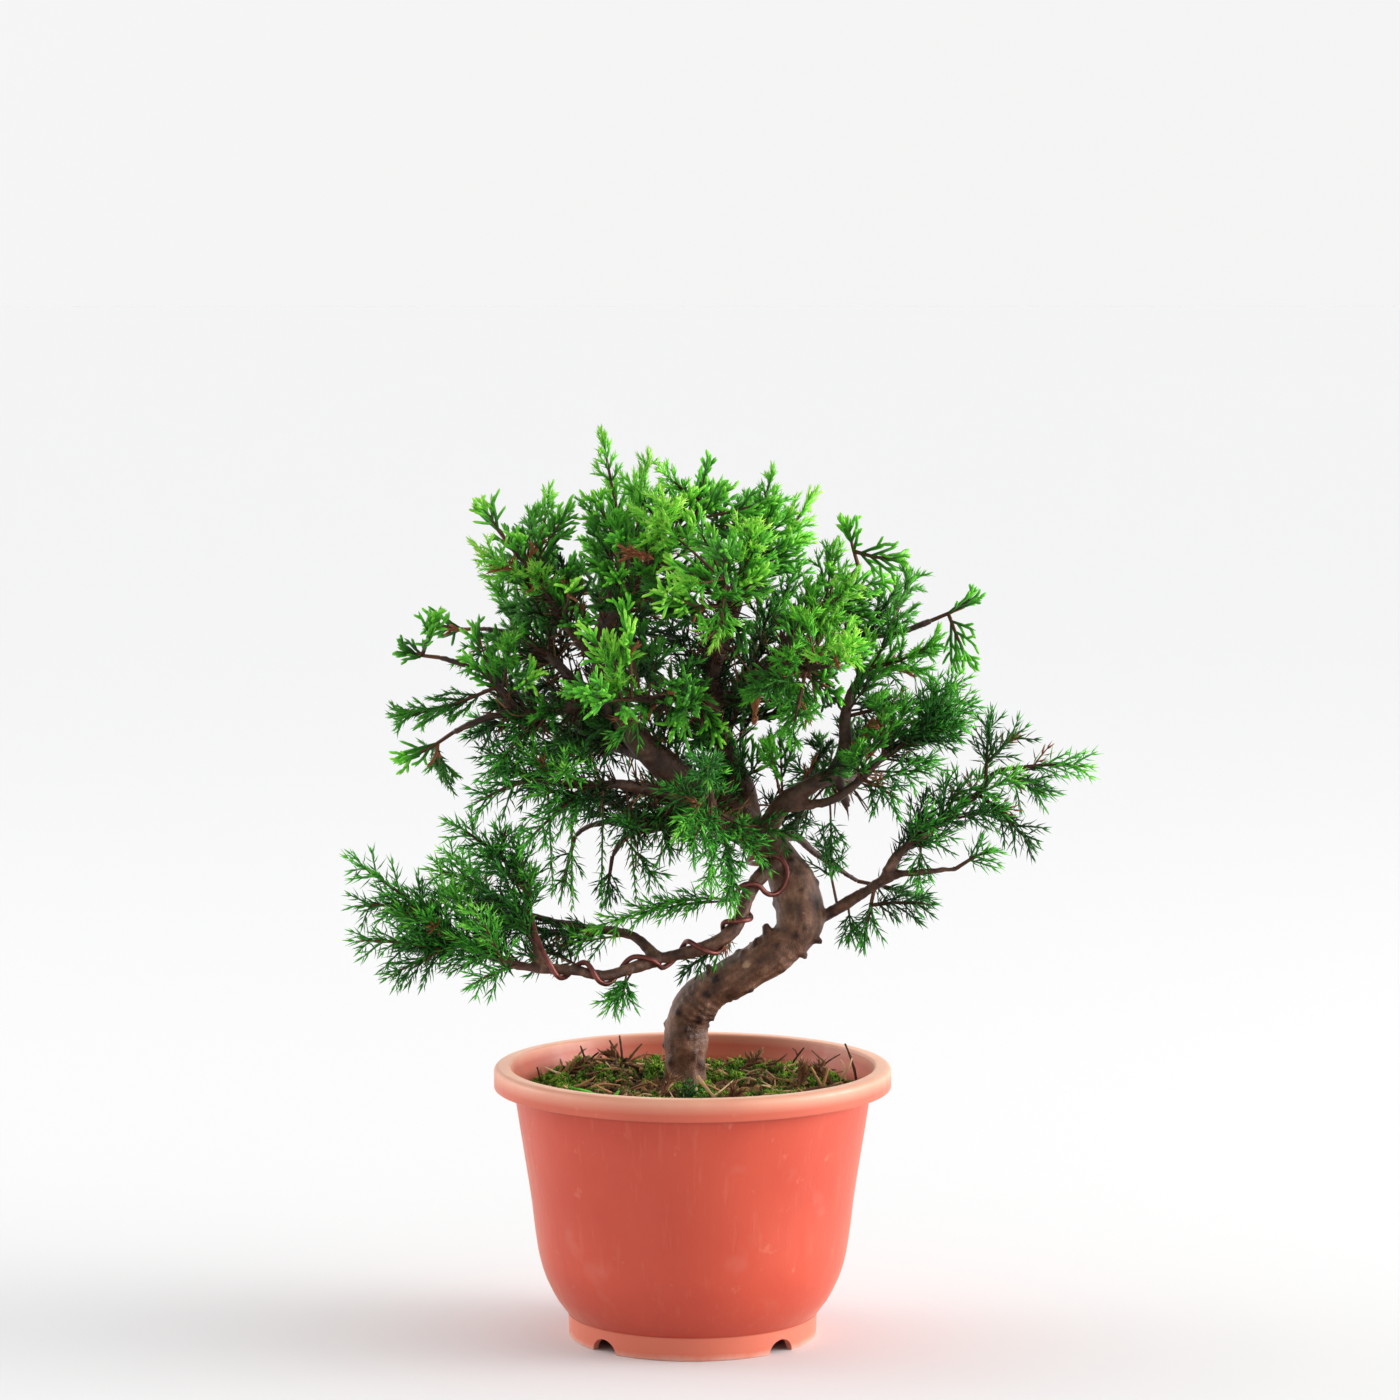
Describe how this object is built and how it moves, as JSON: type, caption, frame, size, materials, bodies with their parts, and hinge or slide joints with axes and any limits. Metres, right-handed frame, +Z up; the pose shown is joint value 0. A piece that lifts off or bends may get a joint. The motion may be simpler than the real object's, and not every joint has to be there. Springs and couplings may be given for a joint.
{
  "type": "potted juniper bonsai",
  "caption": "Small juniper trained as a bonsai with a bent trunk and open leafy branches, growing in a round terracotta-coloured plastic pot, for display.",
  "frame": {"origin": "on the ground under the middle of the whole plant's width and depth; the pot's axis stands 8.5 mm to the left of it and 5.1 mm in front of it", "axes": "+Z up the pot's axis, +X to the right and +Y away from the viewer when the tree is seen from its front, with the low wired branch on the left"},
  "size_m": [0.2852, 0.1986, 0.346],
  "materials": {
    "pot_plastic": "satin",
    "potting_soil": "matte",
    "moss": "matte",
    "bark": "matte",
    "training_wire": "satin",
    "scale_foliage": "satin",
    "needle_foliage": "satin"
  },
  "bodies": {
    "root": {"pot": "pot_plastic", "soil": "potting_soil", "moss": "moss", "tree_wood": "bark", "training_wire": "training_wire", "leafy_branch_01": "scale_foliage", "leafy_branch_02": "scale_foliage", "leafy_branch_03": "scale_foliage", "leafy_branch_04": "needle_foliage", "leafy_branch_05": "scale_foliage", "leafy_branch_06": "scale_foliage", "leafy_branch_07": "needle_foliage", "leafy_branch_08": "needle_foliage", "leafy_branch_09": "scale_foliage", "leafy_branch_10": "scale_foliage", "leafy_branch_11": "scale_foliage", "leafy_branch_12": "scale_foliage", "leafy_branch_13": "scale_foliage", "leafy_branch_14": "scale_foliage", "leafy_branch_15": "scale_foliage", "leafy_branch_16": "scale_foliage", "leafy_branch_17": "scale_foliage", "leafy_branch_18": "scale_foliage", "leafy_branch_19": "scale_foliage", "leafy_branch_20": "scale_foliage", "leafy_branch_21": "scale_foliage", "leafy_branch_22": "scale_foliage", "leafy_branch_23": "needle_foliage", "leafy_branch_24": "needle_foliage", "leafy_branch_25": "needle_foliage", "leafy_branch_26": "scale_foliage", "leafy_branch_27": "scale_foliage", "leafy_branch_28": "scale_foliage", "leafy_branch_29": "scale_foliage", "leafy_branch_30": "needle_foliage", "leafy_branch_31": "needle_foliage", "leafy_branch_32": "needle_foliage", "leafy_branch_33": "scale_foliage", "leafy_branch_34": "scale_foliage", "leafy_branch_35": "needle_foliage", "leafy_branch_36": "scale_foliage", "leafy_branch_37": "scale_foliage", "leafy_branch_38": "needle_foliage", "leafy_branch_39": "scale_foliage", "leafy_branch_40": "needle_foliage", "leafy_branch_41": "scale_foliage", "leafy_branch_42": "scale_foliage", "leafy_branch_43": "needle_foliage", "leafy_branch_44": "needle_foliage", "leafy_branch_45": "needle_foliage", "leafy_branch_46": "needle_foliage", "leafy_branch_47": "needle_foliage", "leafy_branch_48": "needle_foliage", "leafy_branch_49": "needle_foliage", "leafy_branch_50": "needle_foliage", "leafy_branch_51": "needle_foliage", "leafy_branch_52": "needle_foliage", "leafy_branch_53": "needle_foliage", "leafy_branch_54": "needle_foliage", "leafy_branch_55": "needle_foliage"}
  },
  "joints": []
}
